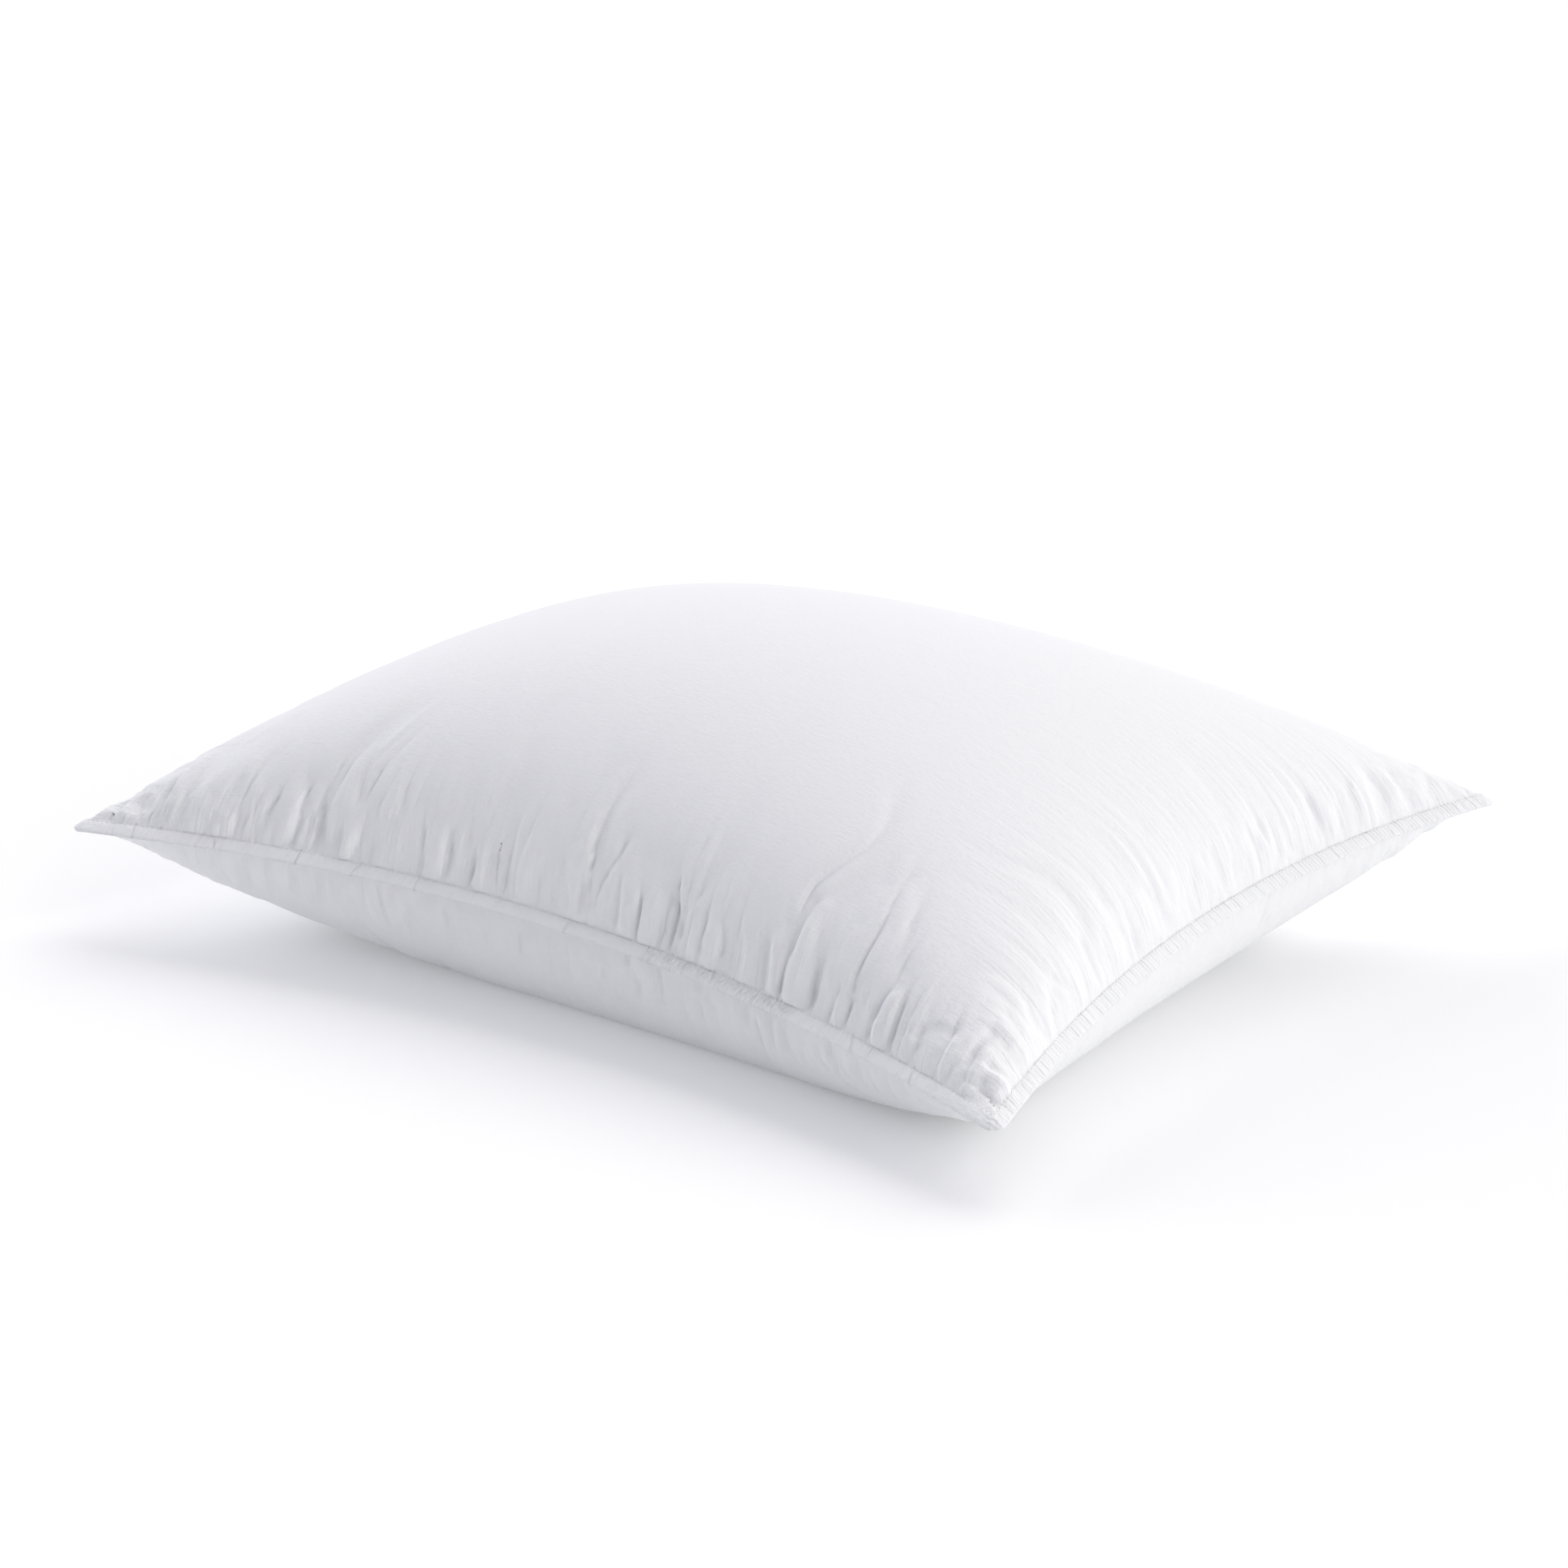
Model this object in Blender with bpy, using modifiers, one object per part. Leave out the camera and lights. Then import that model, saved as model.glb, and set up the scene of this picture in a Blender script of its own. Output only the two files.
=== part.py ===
"""Bed pillow, 26 x 20 inch standard size: two cotton panels sewn along all four sides, stuffed plump.

The panels are sewn face to face, turned out, and topstitched, which leaves a flat flange round
the pillow with both seam allowances folded inside it. +X runs along the long side, +Y along the
short side, +Z up. The origin is the middle of the footprint, on the surface that the pillow
lies on. Units are metres.
"""

import math

import bmesh
import bpy

# Driving dimensions, filled and lying flat
CORNER_SPAN_X = 0.642  # between the tips of two corners, along the long side
CORNER_SPAN_Y = 0.506
PULL_IN_LONG = 0.045  # how far stuffing draws the middle of a long side inwards
PULL_IN_SHORT = 0.032
LOFT = 0.189  # from the surface it lies on to the crown
CORNER_HEIGHTS = {(-1, -1): 0.069, (1, -1): 0.043, (1, 1): 0.081, (-1, 1): 0.068}  # of the flange
SEAM_LIFT = 0.009  # how much higher the flange is at the middle of a side
BELLY_DEPTH = 0.114  # of the underside below the flange, before the floor flattens it
BELLY_FULLNESS = 0.86  # below 1, the underside stands out further towards the corners

# Flange and fabric
FLANGE_WIDTH = 0.010
CORNER_MITRE = 0.8  # share of a square corner that the rounded corner keeps
FABRIC = 0.0005
GAP = 0.0003  # between pieces that touch
ALLOWANCE_DEPTH = 0.0085
ALLOWANCE_HEIGHT = 0.0008  # of the allowance's middle above the flange's mid-plane
FLANGE_HEIGHT = ALLOWANCE_HEIGHT + FABRIC + GAP  # of the flange ply's middle above it

# Sewing
THREAD = 0.0005
SEAM_THREAD_INSET = 0.0012  # of the edge seam from the flange's outer edge
TOPSTITCH_INSET = 0.0085
CLOSING_INSET = 0.0050
CLOSING_START_X = 0.060
CLOSING_END_X = 0.170

# Care label, in the far long side's seam
LABEL_MIDDLE_X = -0.130
LABEL_WIDTH = 0.030
LABEL_INSERT = 0.0004  # how far in it goes between the allowances, short of the edge seam
LABEL_REACH = 0.024  # how far it stands out of the seam
LABEL_DROOP = 0.006
LABEL_THICKNESS = 0.0004

# Fineness of the curved surfaces
CELLS_X = 26
CELLS_Y = 20

COTTON_WHITE = (0.86, 0.86, 0.88)
THREAD_WHITE = (0.90, 0.90, 0.91)
SATIN_WHITE = (0.88, 0.88, 0.88)
DOWN_WHITE = (0.80, 0.79, 0.76)


def clear_scene():
    for obj in list(bpy.data.objects):
        bpy.data.objects.remove(obj, do_unlink=True)


def make_material(name, colour, roughness):
    material = bpy.data.materials.new(name)
    material.use_nodes = True
    shader = material.node_tree.nodes["Principled BSDF"]
    shader.inputs["Base Color"].default_value = (*colour, 1.0)
    shader.inputs["Roughness"].default_value = roughness
    shader.inputs["Metallic"].default_value = 0.0
    return material


def add_object(name, data, collection, material):
    obj = bpy.data.objects.new(name, data)
    obj.data.materials.append(material)
    collection.objects.link(obj)
    return obj


# The pillow's form. s and t run from -1 to 1 across the panel, and sin() of them packs the
# points towards the seams, where the surface turns over fastest.

def plan_point(s, t, inset):
    """x and y of a panel's point, where inset is how far the panel's rim is inside the outer edge."""
    u = math.sin(s * math.pi / 2)
    v = math.sin(t * math.pi / 2)
    half_x = CORNER_SPAN_X / 2 - inset - PULL_IN_SHORT * (1 - v * v)
    half_y = CORNER_SPAN_Y / 2 - inset - PULL_IN_LONG * (1 - u * u)
    return u * half_x, v * half_y


def flange_plane(s, t):
    """Height of the flange's mid-plane, which dips to the corners, most of all to the loose one."""
    u = math.sin(s * math.pi / 2)
    v = math.sin(t * math.pi / 2)
    height = SEAM_LIFT * (1 - u * u * v * v)
    for (side_u, side_v), corner in CORNER_HEIGHTS.items():
        height += corner * (1 + side_u * u) * (1 + side_v * v) / 4
    return height


def bulge(s, t):
    """Share of the full depth: 1 at the middle and 0 at the rim, on elliptical arcs."""
    return math.cos(s * math.pi / 2) * math.cos(t * math.pi / 2)


def top_height(s, t, inside):
    """Height of the upper surface, or of one that lies that far inside it."""
    rise = LOFT - flange_plane(0, 0) - inside
    return flange_plane(s, t) + rise * bulge(s, t)


def bottom_height(s, t, inside):
    """Height of the lower surface, which is flat where it rests on the floor."""
    share = max(bulge(s, t), 0.0) ** BELLY_FULLNESS
    return max(inside, flange_plane(s, t) - (BELLY_DEPTH - inside) * share)


def outward(s, t):
    """Direction out of the pillow across a rim point, and the length that keeps the flange's width."""
    corner = abs(s) > 0.999 and abs(t) > 0.999
    along_x = math.copysign(1.0, s) if abs(s) > 0.999 else 0.0
    along_y = math.copysign(1.0, t) if abs(t) > 0.999 else 0.0
    reach = CORNER_MITRE if corner else 1.0
    return along_x * reach, along_y * reach


def rim_point(s, t, inset, height):
    """A point on the flange, inset from its outer edge and above its mid-plane."""
    x, y = plan_point(s, t, FLANGE_WIDTH)
    out_x, out_y = outward(s, t)
    reach = FLANGE_WIDTH - inset
    return x + out_x * reach, y + out_y * reach, flange_plane(s, t) + height


def rim_parameters():
    """The rim's points in order, anticlockwise from the corner at -X, -Y."""
    front = [(-1 + 2 * i / CELLS_X, -1.0) for i in range(CELLS_X)]
    right = [(1.0, -1 + 2 * i / CELLS_Y) for i in range(CELLS_Y)]
    back = [(-s, 1.0) for s, _ in front]
    left = [(-1.0, -t) for _, t in right]
    return front + right + back + left


def grid_mesh(height_of, inset):
    """An open surface over the whole panel, and the grid position of each of its points."""
    mesh = bmesh.new()
    bmesh.ops.create_grid(mesh, x_segments=CELLS_X, y_segments=CELLS_Y, size=1.0)
    places = {}
    for vert in mesh.verts:
        s, t = vert.co.x, vert.co.y
        places[vert] = (s, t)
        vert.co = (*plan_point(s, t, inset), height_of(s, t))
    return mesh, places


def extend_rim(mesh, rim, places, inset, height):
    """Extrudes the rim's edges to a new row of points, and returns that row's edges."""
    made = bmesh.ops.extrude_edge_only(mesh, edges=rim)["geom"]
    new_verts = [g for g in made if isinstance(g, bmesh.types.BMVert)]
    new_edges = [g for g in made if isinstance(g, bmesh.types.BMEdge)]
    rim_verts = set(new_verts)
    for vert in new_verts:
        source = next(
            e.other_vert(vert) for e in vert.link_edges if e.other_vert(vert) not in rim_verts
        )
        places[vert] = places[source]
        vert.co = rim_point(*places[vert], inset, height)
    return [e for e in new_edges if all(v in rim_verts for v in e.verts)]


def make_panel(name, side, collection, material):
    """One cotton panel: the part that covers the filling, its half of the flange, and its
    seam allowance folded back inside. side is 1 for the top and -1 for the bottom."""
    if side > 0:
        mesh, places = grid_mesh(lambda s, t: top_height(s, t, FABRIC / 2), FLANGE_WIDTH)
    else:
        mesh, places = grid_mesh(lambda s, t: bottom_height(s, t, FABRIC / 2), FLANGE_WIDTH)
    rim = [e for e in mesh.edges if e.is_boundary]
    for vert in {v for e in rim for v in e.verts}:
        vert.co = rim_point(*places[vert], FLANGE_WIDTH, side * FLANGE_HEIGHT)
    folds = [
        (FABRIC, FLANGE_HEIGHT),
        (FABRIC, ALLOWANCE_HEIGHT),
        (ALLOWANCE_DEPTH, ALLOWANCE_HEIGHT),
    ]
    for inset, height in folds:
        rim = extend_rim(mesh, rim, places, inset, side * height)
    bmesh.ops.recalc_face_normals(mesh, faces=mesh.faces)
    data = bpy.data.meshes.new(name)
    mesh.to_mesh(data)
    mesh.free()
    data.shade_smooth()
    panel = add_object(name, data, collection, material)
    cloth = panel.modifiers.new("fabric_thickness", "SOLIDIFY")
    cloth.thickness = FABRIC
    cloth.offset = 0.0
    cloth.use_even_offset = True
    return panel


def make_filling(name, collection, material):
    """The mass of down clusters, one closed body that fills the casing up to the flange."""
    clear = FABRIC + GAP
    inset = FLANGE_WIDTH + 4 * clear
    mesh, _ = grid_mesh(lambda s, t: top_height(s, t, 2 * clear), inset)
    lower, _ = grid_mesh(lambda s, t: bottom_height(s, t, 2 * clear), inset)
    bmesh.ops.reverse_faces(lower, faces=lower.faces)
    half = bpy.data.meshes.new("lower_half")
    lower.to_mesh(half)
    lower.free()
    mesh.from_mesh(half)
    bpy.data.meshes.remove(half)
    bmesh.ops.remove_doubles(mesh, verts=mesh.verts, dist=GAP / 10)
    data = bpy.data.meshes.new(name)
    mesh.to_mesh(data)
    mesh.free()
    data.shade_smooth()
    return add_object(name, data, collection, material)


def make_thread(name, points, closed, collection, material):
    """A thread along those points."""
    curve = bpy.data.curves.new(name, "CURVE")
    curve.dimensions = "3D"
    spline = curve.splines.new("POLY")
    spline.points.add(len(points) - 1)
    for place, point in zip(spline.points, points):
        place.co = (*point, 1.0)
    spline.use_cyclic_u = closed
    curve.bevel_depth = THREAD / 2
    curve.bevel_resolution = 0
    curve.use_fill_caps = not closed
    return add_object(name, curve, collection, material)


def rim_loop(inset, height):
    return [rim_point(s, t, inset, height) for s, t in rim_parameters()]


def closing_run(inset, height):
    """The front side's stretch between the ends of the closing seam."""
    run = [rim_point(s, -1.0, inset, height) for s in (i / 100 for i in range(-100, 101, 2))]
    return [p for p in run if CLOSING_START_X <= p[0] <= CLOSING_END_X]


def back_edge_at(x):
    """y and z of the flange's far outer edge at that x, along the straight runs of its mesh."""
    run = [rim_point(-1 + 2 * i / CELLS_X, 1.0, 0.0, 0.0) for i in range(CELLS_X + 1)]
    for low, high in zip(run, run[1:]):
        if low[0] <= x <= high[0]:
            share = (x - low[0]) / (high[0] - low[0])
            return tuple(a + (b - a) * share for a, b in zip(low[1:], high[1:]))
    raise ValueError("the label lies beyond the corner")


def make_label(name, collection, material):
    """A blank ribbon that comes out of the seam and droops a little. It follows the seam's line."""
    steps = 6
    mesh = bmesh.new()
    bmesh.ops.create_grid(mesh, x_segments=2, y_segments=steps, size=1.0)
    for vert in mesh.verts:
        x = LABEL_MIDDLE_X + vert.co.x * LABEL_WIDTH / 2
        share = (vert.co.y + 1) / 2
        edge_y, edge_z = back_edge_at(x)
        reach = -LABEL_INSERT + (LABEL_REACH + LABEL_INSERT) * share
        vert.co = (x, edge_y + reach, edge_z - LABEL_DROOP * share * share)
    data = bpy.data.meshes.new(name)
    mesh.to_mesh(data)
    mesh.free()
    label = add_object(name, data, collection, material)
    ribbon = label.modifiers.new("ribbon_thickness", "SOLIDIFY")
    ribbon.thickness = LABEL_THICKNESS
    ribbon.offset = 0.0
    return label


def build_pillow():
    clear_scene()
    pillow = bpy.data.collections.new("bed_pillow")
    bpy.context.scene.collection.children.link(pillow)
    cotton = make_material("cotton", COTTON_WHITE, 0.85)
    thread = make_material("thread", THREAD_WHITE, 0.6)
    satin = make_material("satin_ribbon", SATIN_WHITE, 0.45)
    down = make_material("down", DOWN_WHITE, 0.95)

    make_panel("top_panel", 1, pillow, cotton)
    make_panel("bottom_panel", -1, pillow, cotton)
    make_filling("down_filling", pillow, down)

    thread_height = FLANGE_HEIGHT + FABRIC / 2 + GAP + THREAD / 2
    make_thread("edge_seam_thread", rim_loop(SEAM_THREAD_INSET, 0.0), True, pillow, thread)
    make_thread(
        "topstitch_needle_thread", rim_loop(TOPSTITCH_INSET, thread_height), True, pillow, thread
    )
    make_thread(
        "topstitch_bobbin_thread", rim_loop(TOPSTITCH_INSET, -thread_height), True, pillow, thread
    )
    make_thread(
        "closing_seam_thread", closing_run(CLOSING_INSET, thread_height), False, pillow, thread
    )
    make_label("care_label", pillow, satin)


build_pillow()
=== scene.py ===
"""Bed pillow: the cotton cover's cloth, seams, stitching and filling, over the CAD frame.

The cover is two flat-cut cotton panels. They start draped over the pillow's form, and a cloth
simulation with air pressure inside lets the spare cloth along the seams buckle into gathers.
Creases too sharp for the simulation are pressed into the result. Each panel's cover piece is
then built on that cloth, with its ply of the flange.
Units are metres. +X is along the long side, -Y is the side with the closing seam, +Z is up.
"""

import math

import bpy
import numpy as np
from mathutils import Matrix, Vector

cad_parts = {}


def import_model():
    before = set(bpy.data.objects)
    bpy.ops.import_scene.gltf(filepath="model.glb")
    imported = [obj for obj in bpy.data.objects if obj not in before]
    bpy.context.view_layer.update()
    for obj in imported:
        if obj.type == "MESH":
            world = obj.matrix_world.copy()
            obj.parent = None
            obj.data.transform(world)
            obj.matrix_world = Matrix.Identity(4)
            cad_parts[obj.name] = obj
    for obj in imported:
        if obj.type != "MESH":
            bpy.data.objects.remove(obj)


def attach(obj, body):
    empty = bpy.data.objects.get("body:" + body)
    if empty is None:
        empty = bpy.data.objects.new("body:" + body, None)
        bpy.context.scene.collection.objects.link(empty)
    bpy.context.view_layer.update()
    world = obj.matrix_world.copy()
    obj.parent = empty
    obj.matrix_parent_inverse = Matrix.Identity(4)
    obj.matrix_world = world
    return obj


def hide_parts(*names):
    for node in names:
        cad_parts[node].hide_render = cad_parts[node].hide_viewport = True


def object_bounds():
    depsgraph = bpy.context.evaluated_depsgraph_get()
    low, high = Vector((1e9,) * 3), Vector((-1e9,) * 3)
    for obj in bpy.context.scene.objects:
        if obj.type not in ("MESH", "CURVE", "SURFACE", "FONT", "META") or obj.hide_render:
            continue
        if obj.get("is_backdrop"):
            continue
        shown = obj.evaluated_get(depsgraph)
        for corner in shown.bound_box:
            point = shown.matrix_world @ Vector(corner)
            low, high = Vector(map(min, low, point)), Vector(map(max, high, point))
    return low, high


# Cut and sewing
LONG, SHORT = 0.660, 0.508  # outer edge to outer edge of the flange, laid flat
FLANGE = 0.009
HALF_X, HALF_Y = LONG / 2 - FLANGE, SHORT / 2 - FLANGE  # to the topstitched line

# Filled form, which the cloth starts on and is lightly held to
SPAN_X, SPAN_Y = 0.646, 0.510
PULL_IN_SHORT, PULL_IN_LONG = 0.032, 0.046
LOFT = 0.186
SEAM_LIFT = 0.009  # of the seam at the middle of each side, above the line between its corners
CORNER_HEIGHTS = {(-1, -1): 0.069, (1, -1): 0.043, (1, 1): 0.082, (-1, 1): 0.068}
MID_HEIGHT = sum(CORNER_HEIGHTS.values()) / 4 + SEAM_LIFT
BELLY_DEPTH = 0.114
BELLY_FULLNESS = 0.43  # below 0.5, the underside stands out further towards the corners
FLANGE_TILT = math.radians(36)  # how far the flange hangs below level

# Simulation
CELL = 0.0031
FIN_ROWS = 2  # rows of cells across the flange
FRAMES = 18
GROUND_Z = -0.0012
GATHER_PITCH = 0.0062
GATHER_HEIGHT = 0.0018
GATHER_REACH = 0.06
SPARE_CLOTH = 0.024
SEAM_TIGHTNESS = 0.03
TAUT_FROM, TAUT_BEYOND = 0.030, 0.075  # distance in from the seams
TAUT_ROUNDS = 300

# Creases too sharp for the simulation's cells, laid over its folds
CREASES = (  # of each size: about how far apart, how deep and how long
    (0.0125, 0.0030, 0.080),
    (0.0075, 0.0022, 0.055),
    (0.0045, 0.0010, 0.040),
)
CREASE_REACH = 0.066

# Single creases on the top panel: from and to, as x and the distance in from the front seam, and
# how deep. The places come from points picked by eye in the photo, which a separate script turned
# into metres on the pattern. They were then moved by up to 12 mm; the depths are given.
MAIN_CREASES = (
    ((-0.280, 0.003), (-0.277, 0.018), 0.0020),
    ((-0.240, 0.002), (-0.235, 0.020), 0.0020),
    ((-0.184, 0.003), (-0.183, 0.036), 0.0042),
    ((-0.144, 0.018), (-0.140, 0.052), 0.0024),
    ((-0.107, 0.004), (-0.105, 0.022), 0.0022),
    ((-0.050, 0.005), (-0.048, 0.022), 0.0024),
    ((0.026, 0.012), (0.036, 0.048), 0.0036),
    ((0.161, 0.004), (0.164, 0.054), 0.0048),
    ((0.197, 0.002), (0.201, 0.020), 0.0028),
    ((0.226, 0.002), (0.230, 0.028), 0.0042),
    ((0.296, 0.007), (0.317, 0.007), 0.0036),
    ((0.303, 0.022), (0.319, 0.025), 0.0032),
    ((0.300, 0.088), (0.319, 0.080), 0.0022),
)
CREASE_HALF_WIDTH = 0.0023
LIP_SHARE = 0.35  # height of the raised cloth beside a single crease, of the crease's depth
DEEPEST = 0.0052  # no crease is deeper than this

# Visible mesh
MESH_STEP = 0.0020
FILLING_ROUNDS = 30
PLY_OFFSET = 0.00045  # of a cover's cloth from the shared middle surface, at the topstitching
GROOVE = 0.0005  # how far each panel swells out just inside the topstitched line

# Across the flange: how far out each row is, as a share of its width, and its height over the
# middle surface. The last rows are the seam allowance, turned back inside.
PLY_ROWS = (
    (0.05, 0.00048),
    (0.10, 0.00078),
    (0.20, 0.00108),
    (0.50, 0.00116),
    (0.82, 0.00114),
    (0.93, 0.00104),
    (0.98, 0.00078),
    (1.00, 0.00042),
    (0.97, 0.00022),
    (0.80, 0.00022),
    (0.30, 0.00022),
)

STITCH_PITCH, STITCH_LENGTH, STITCH_RADIUS = 0.0031, 0.0025, 0.00026
CLOSING_START_X, CLOSING_END_X = 0.066, 0.172
PUCKER_PITCH = 0.0027
TUCK_PITCH = 0.050
LABEL_X, LABEL_WIDTH, LABEL_REACH = -0.130, 0.030, 0.023


# ---------------------------------------------------------------- form of the filled pillow


def form(u, v, side):
    """Points of the filled form. u and v run from -1 to 1; side is 1 top, -1 underside, 0 seam."""
    half_x = SPAN_X / 2 - FLANGE - PULL_IN_SHORT * (1 - v * v)
    half_y = SPAN_Y / 2 - FLANGE - PULL_IN_LONG * (1 - u * u)
    seam = SEAM_LIFT * (1 - u * u * v * v)
    for (corner_u, corner_v), height in CORNER_HEIGHTS.items():
        seam = seam + height * (1 + corner_u * u) * (1 + corner_v * v) / 4
    bulge = np.clip((1 - u * u) * (1 - v * v), 0, None)
    if side > 0:
        z = seam + (LOFT - MID_HEIGHT) * bulge**0.5
    elif side < 0:
        z = np.maximum(0.0006, seam - BELLY_DEPTH * bulge**BELLY_FULLNESS)
    else:
        z = seam
    return np.stack([u * half_x, v * half_y, z], -1)


def evened(points, parameter):
    """The parameter resampled along the rows, so that the points come out evenly spaced."""
    steps = np.linalg.norm(np.diff(points, axis=1), axis=2)
    result = np.empty_like(parameter)
    for row in range(len(parameter)):
        run = np.concatenate([[0], np.cumsum(steps[row])])
        result[row] = np.interp(np.linspace(0, run[-1], parameter.shape[1]), run, parameter[row])
    return result


def laid_over_form(cells_x, cells_y, side):
    """The panel's even grid laid over the form with as little stretch as the form allows."""
    u, v = np.meshgrid(
        np.sin(np.linspace(-1, 1, cells_x + 1) * math.pi / 2),
        np.sin(np.linspace(-1, 1, cells_y + 1) * math.pi / 2),
        indexing="ij",
    )
    for _ in range(30):
        across = form(u, v, side).transpose(1, 0, 2)
        u = 0.5 * u + 0.5 * evened(across, u.T).T
        v = 0.5 * v + 0.5 * evened(form(u, v, side), v)
    return form(u, v, side)


def value_noise(random, x, y):
    """A smooth random field, mostly within -1 to 1, with a knot at each whole number of x and y."""
    knots = random.normal(0, 0.7, (int(x.max() - x.min()) + 3, int(y.max() - y.min()) + 3))
    x, y = x - x.min(), y - y.min()
    i, j = np.floor(x).astype(int), np.floor(y).astype(int)
    f, g = x - i, y - j
    f, g = f * f * (3 - 2 * f), g * g * (3 - 2 * g)
    low = knots[i, j] * (1 - f) + knots[i + 1, j] * f
    high = knots[i, j + 1] * (1 - f) + knots[i + 1, j + 1] * f
    return low * (1 - g) + high * g


def long_side_share(x, y):
    """1 where a long side is the nearer one, 0 where a short side is, and a blend between them."""
    nearer = (HALF_X - np.abs(x)) - (HALF_Y - np.abs(y))
    to_corner = np.hypot(HALF_X - np.abs(x), HALF_Y - np.abs(y))
    return np.clip(0.5 + nearer / (0.012 + 0.5 * to_corner), 0, 1)


def gathers_from_side(random, along, inward):
    """Height of the slight folds that start at one pair of seams. along runs with the seam."""
    wander = 0.012 * value_noise(random, along / 0.05, inward / 0.06)
    wander = wander * np.clip(inward / 0.05, 0, 1.5) + 0.004 * value_noise(
        random, along / 0.02, inward / 0.05
    )
    bunched = along + 0.010 * value_noise(random, along / 0.035, np.zeros_like(along))
    fine = value_noise(random, (bunched + wander) / GATHER_PITCH, inward / 0.06)
    broad = value_noise(random, (along + wander) / (2.4 * GATHER_PITCH), inward / 0.09)
    strength = np.clip(0.85 + 0.8 * value_noise(random, along / 0.045, inward / 0.07), 0.15, 2)
    reach = GATHER_REACH * (1 + 0.3 * value_noise(random, along / 0.05, inward / 0.2))
    fade = np.exp(-((inward / reach) ** 2)) * (1 - np.exp(-inward / 0.008))
    return (fine + 0.9 * broad) * strength * fade


def gather_seeds(random, cells_x, cells_y):
    """Height of the first slight folds, which run in from each seam and fade towards the crown."""
    x, y = np.meshgrid(
        np.linspace(-HALF_X, HALF_X, cells_x + 1),
        np.linspace(-HALF_Y, HALF_Y, cells_y + 1),
        indexing="ij",
    )
    share = long_side_share(x, y)
    total = np.zeros_like(x)
    for sign in (-1, 1):
        from_long = gathers_from_side(random, x, HALF_Y - np.abs(y)) * share
        from_short = gathers_from_side(random, y, HALF_X - np.abs(x)) * 0.4 * (1 - share)
        total = total + np.where(sign * y > 0, from_long, 0) + np.where(sign * x > 0, from_short, 0)
    return total


def grid_normals(points):
    """Unit normals of a grid of points, from its neighbours."""
    normals = np.cross(np.gradient(points, axis=0), np.gradient(points, axis=1))
    return normals / np.maximum(np.linalg.norm(normals, axis=2, keepdims=True), 1e-12)


def smoothed(grid, share, rounds):
    """The grid with its small waves eased out, by a share from 0 to 1 at each point."""
    grid = grid.copy()
    for _ in range(rounds):
        around = (grid[2:, 1:-1] + grid[:-2, 1:-1] + grid[1:-1, 2:] + grid[1:-1, :-2]) / 4
        grid[1:-1, 1:-1] += share[1:-1, 1:-1, None] * 0.5 * (around - grid[1:-1, 1:-1])
    return grid


# ---------------------------------------------------------------- cloth simulation


def flat_lines(half, cells):
    """Grid lines of the flat pattern along one axis, with the flange's rows at both ends."""
    rows = FLANGE / FIN_ROWS * np.arange(1, FIN_ROWS + 1)
    return np.concatenate([-half - rows[::-1], np.linspace(-half, half, cells + 1), half + rows])


def start_grids(random, lines_x, lines_y):
    """The even form's grids and the start grids, top and underside, and the shared flange's mask."""
    k = FIN_ROWS
    cells_x, cells_y = len(lines_x) - 2 * k - 1, len(lines_y) - 2 * k - 1
    held, seeded = [], []
    for side, height in ((1, GATHER_HEIGHT), (-1, 0.6 * GATHER_HEIGHT)):
        grid = np.zeros((len(lines_x), len(lines_y), 3))
        grid[k:-k, k:-k] = laid_over_form(cells_x, cells_y, side)
        held.append(grid)
    inner = slice(k, -k)
    for edge in ((k, inner), (-k - 1, inner), (inner, k), (inner, -k - 1)):
        middle = (held[0][edge] + held[1][edge]) / 2
        held[0][edge] = held[1][edge] = middle
    i, j = np.meshgrid(np.arange(len(lines_x)), np.arange(len(lines_y)), indexing="ij")
    near_i = np.clip(i, k, len(lines_x) - 1 - k)
    near_j = np.clip(j, k, len(lines_y) - 1 - k)
    out = np.stack([lines_x[i] - lines_x[near_i], lines_y[j] - lines_y[near_j]], -1)
    fin = (near_i != i) | (near_j != j)
    reach = np.linalg.norm(out, axis=-1)
    for grid in held:
        rim = grid[near_i, near_j]
        level, drop = math.cos(FLANGE_TILT), math.sin(FLANGE_TILT)
        moved = rim + np.concatenate([out * level, -reach[..., None] * drop], -1)
        grid[fin] = moved[fin]
    for grid, side, height in ((held[0], 1, GATHER_HEIGHT), (held[1], -1, 0.6 * GATHER_HEIGHT)):
        folds = grid.copy()
        inside = grid[k:-k, k:-k]
        lift = gather_seeds(random, cells_x, cells_y) * height * side
        lift[0] = lift[-1] = 0
        lift[:, 0] = lift[:, -1] = 0
        folds[k:-k, k:-k] = inside + grid_normals(inside) * lift[..., None]
        folds[..., 2] = np.maximum(folds[..., 2], 0.0008)
        seeded.append(folds)
    return held, seeded, fin


def weights(obj, name, values):
    """A vertex group holding those weights, to the nearest fiftieth."""
    group = obj.vertex_groups.new(name=name)
    levels = np.round(np.asarray(values) * 50).astype(int)
    for level in range(1, 51):
        chosen = np.flatnonzero(levels == level)
        if len(chosen):
            group.add(chosen.tolist(), level / 50, "REPLACE")
    return name


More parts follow.
